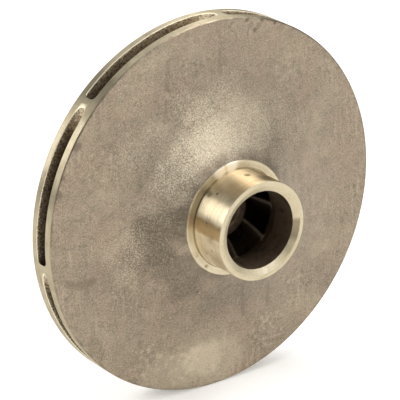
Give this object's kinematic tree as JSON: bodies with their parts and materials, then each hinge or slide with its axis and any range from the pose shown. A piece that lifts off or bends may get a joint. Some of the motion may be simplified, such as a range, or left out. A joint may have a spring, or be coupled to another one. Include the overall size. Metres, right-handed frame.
{
  "type": "circulator pump impeller",
  "caption": "Closed bronze impeller of a small circulator pump: swept vanes between two shrouds, a turned suction neck with a collar, and a keyed hub.",
  "frame": {"origin": "middle of the hub's back face, on the shaft axis", "axes": "shaft along Y; -Y out of the suction neck, +Y out of the back of the hub; +Z through the keyway"},
  "size_m": [0.1334, 0.0412, 0.1334],
  "materials": {
    "cast_bronze": "sand cast, dull grey-brown skin; turned on the rim",
    "turned_bronze": "turned, satin, with fine rings"
  },
  "bodies": {
    "root": {"front_shroud_rim": "cast_bronze", "front_shroud_plate": "cast_bronze", "front_shroud_slope": "cast_bronze", "front_shroud_cone": "cast_bronze", "back_shroud": "cast_bronze", "hub_web": "cast_bronze", "suction_neck": "turned_bronze", "neck_collar": "turned_bronze", "shaft_hub": "cast_bronze", "vane_1": "cast_bronze", "vane_2": "cast_bronze", "vane_3": "cast_bronze", "vane_4": "cast_bronze", "vane_5": "cast_bronze", "vane_6": "cast_bronze", "vane_7": "cast_bronze"}
  },
  "joints": []
}
